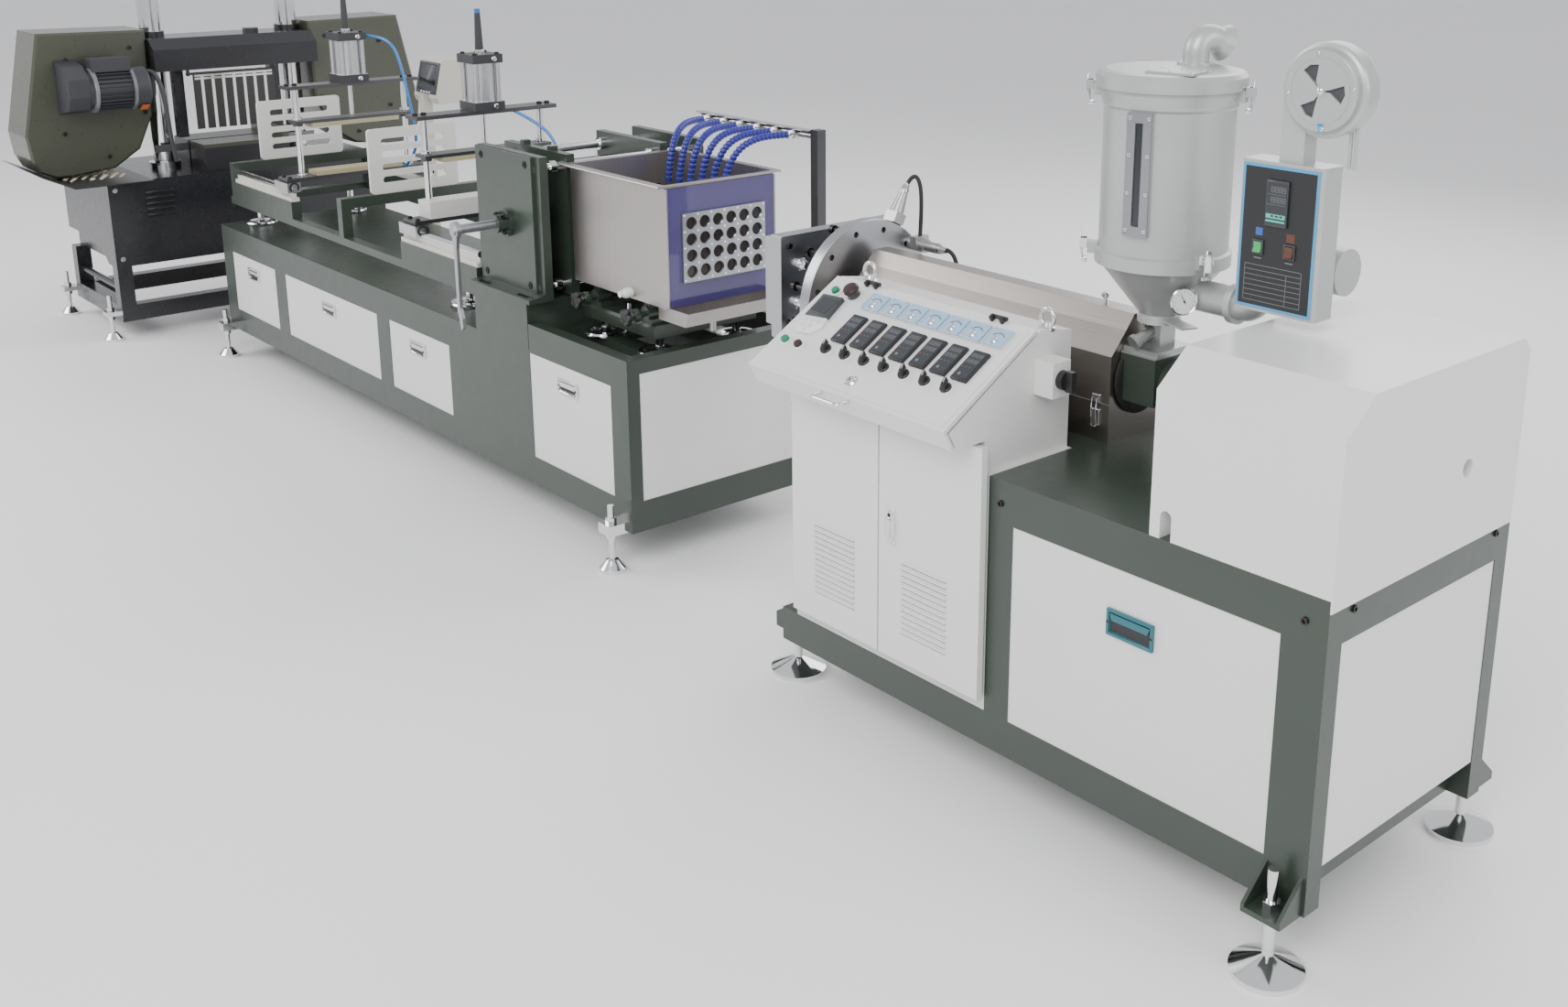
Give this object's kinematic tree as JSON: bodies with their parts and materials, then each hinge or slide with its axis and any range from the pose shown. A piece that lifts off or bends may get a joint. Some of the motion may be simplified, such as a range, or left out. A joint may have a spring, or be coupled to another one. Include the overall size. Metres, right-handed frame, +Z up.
{
  "type": "glue stick extrusion line",
  "caption": "Extrusion line for glue sticks: extruder with hopper dryer, cooling tank, tie rod press, sliding puller clamps and a column band saw.",
  "frame": {"origin": "On the floor below the front corner of the drive end: under the rim of that corner's levelling pad.", "axes": "+X along the line towards the drive end, +Y to the back of the line, +Z up."},
  "size_m": [6.932, 1.92, 1.771],
  "materials": {
    "green_paint": "semi-gloss powder coat",
    "foot_chrome": "bright plated",
    "white_panel": "satin powder coat",
    "stainless_cover": "fine brushed",
    "dark_interior": "satin",
    "instrument_plastic": "fine grain",
    "white_plastic": "machined polyethylene",
    "black_plastic": "moulded",
    "tool_steel": "ground",
    "dryer_silver": "silver paint",
    "clear_window": "clear acrylic",
    "hose_blue": "moulded links",
    "cream_paint": "satin paint",
    "cylinder_aluminium": "anodised",
    "black_paint": "gloss paint",
    "olive_paint": "gloss paint",
    "curtain_plastic": "soft strips",
    "motor_paint": "cast aluminium, painted"
  },
  "bodies": {
    "line": {"barrel": "green_paint", "barrel_cover": "stainless_cover", "bench_feet": "foot_chrome", "bench_frame": "green_paint", "bench_panels": "white_panel", "control_cabinet": "dark_interior", "control_console": "white_panel", "coolant_hoses": "hose_blue", "deck_feet": "foot_chrome", "die_block": "tool_steel", "die_bolts": "foot_chrome", "die_flange": "tool_steel", "drive_housing": "white_panel", "dryer_blower": "dryer_silver", "dryer_box": "dryer_silver", "extruder_feet": "foot_chrome", "extruder_frame": "green_paint", "extruder_panels": "white_panel", "feed_throat": "tool_steel", "guide_rails": "foot_chrome", "heater_plugs": "black_plastic", "hmi_box": "cream_paint", "hopper_body": "stainless_cover", "hopper_cone": "stainless_cover", "hopper_lid": "stainless_cover", "hot_air_pipe": "stainless_cover", "manifold": "stainless_cover", "press_plates": "green_paint", "puller_frame": "green_paint", "saw_body": "black_paint", "saw_columns": "foot_chrome", "saw_feet": "foot_chrome", "saw_stand": "black_paint", "saw_table": "olive_paint", "sizing_block": "tool_steel", "slotted_plates": "white_plastic", "tank_hole_plate": "tool_steel", "tank_shell": "stainless_cover", "tank_slide": "green_paint", "tank_window": "clear_window", "tie_rods": "foot_chrome"},
    "door_left": {"cabinet_door_left": "white_panel"},
    "door_right": {"cabinet_door_right": "white_panel"},
    "console_lid_body": {"console_lid": "white_panel", "console_instruments": "instrument_plastic", "lid_fittings": "foot_chrome"},
    "main_switch": {"main_switch_knob": "black_plastic"},
    "platen": {"press_platen": "green_paint"},
    "screw": {"press_screw": "tool_steel"},
    "station_1": {"carriage_1": "tool_steel", "cylinder_1": "cylinder_aluminium"},
    "station_2": {"carriage_2": "tool_steel", "cylinder_2": "cylinder_aluminium"},
    "clamp_head_1": {"clamp_1": "tool_steel"},
    "clamp_head_2": {"clamp_2": "tool_steel"},
    "saw_head": {"saw_beam": "black_paint", "saw_wheel_covers": "olive_paint", "saw_motor": "motor_paint", "saw_blade": "tool_steel", "saw_curtain": "curtain_plastic"}
  },
  "joints": [
    {"name": "door_left_hinge", "type": "hinge", "parent": "line", "child": "door_left", "pos_m": [-1.525, -0.025, 0.562], "axis": [0, 0, -1], "range_deg": [0, 110]},
    {"name": "door_right_hinge", "type": "hinge", "parent": "line", "child": "door_right", "pos_m": [-0.865, -0.025, 0.562], "axis": [0, 0, 1], "range_deg": [0, 110]},
    {"name": "console_lid_hinge", "type": "hinge", "parent": "line", "child": "console_lid_body", "pos_m": [-1.22, 0.157, 1.103], "axis": [-1, 0, 0], "range_deg": [0, 70]},
    {"name": "main_switch_turn", "type": "hinge", "parent": "line", "child": "main_switch", "pos_m": [-0.8, 0.184, 0.9945], "axis": [1, 0, 0], "range_deg": [0, 90]},
    {"name": "platen_slide", "type": "slide", "parent": "line", "child": "platen", "axis": [0, -1, 0], "range_m": [0, 0.012]},
    {"name": "press_screw_turn", "type": "hinge", "parent": "platen", "child": "screw", "pos_m": [-3.214, 0.1, 0.9815], "axis": [0, 1, 0], "range_deg": [0, 720]},
    {"name": "station_1_slide", "type": "slide", "parent": "line", "child": "station_1", "axis": [1, 0, 0], "range_m": [-0.38, 0]},
    {"name": "clamp_1_drop", "type": "slide", "parent": "station_1", "child": "clamp_head_1", "axis": [0, 0, 1], "range_m": [-0.03, 0]},
    {"name": "station_2_slide", "type": "slide", "parent": "line", "child": "station_2", "axis": [1, 0, 0], "range_m": [0, 0.33]},
    {"name": "clamp_2_drop", "type": "slide", "parent": "station_2", "child": "clamp_head_2", "axis": [0, 0, 1], "range_m": [-0.03, 0]},
    {"name": "saw_head_lift", "type": "slide", "parent": "line", "child": "saw_head", "axis": [0, 0, 1], "range_m": [0, 0.28]}
  ],
  "couplings": [
    {"joint": "platen_slide", "follows": "press_screw_turn", "m_per_rad": 0.00095493}
  ]
}
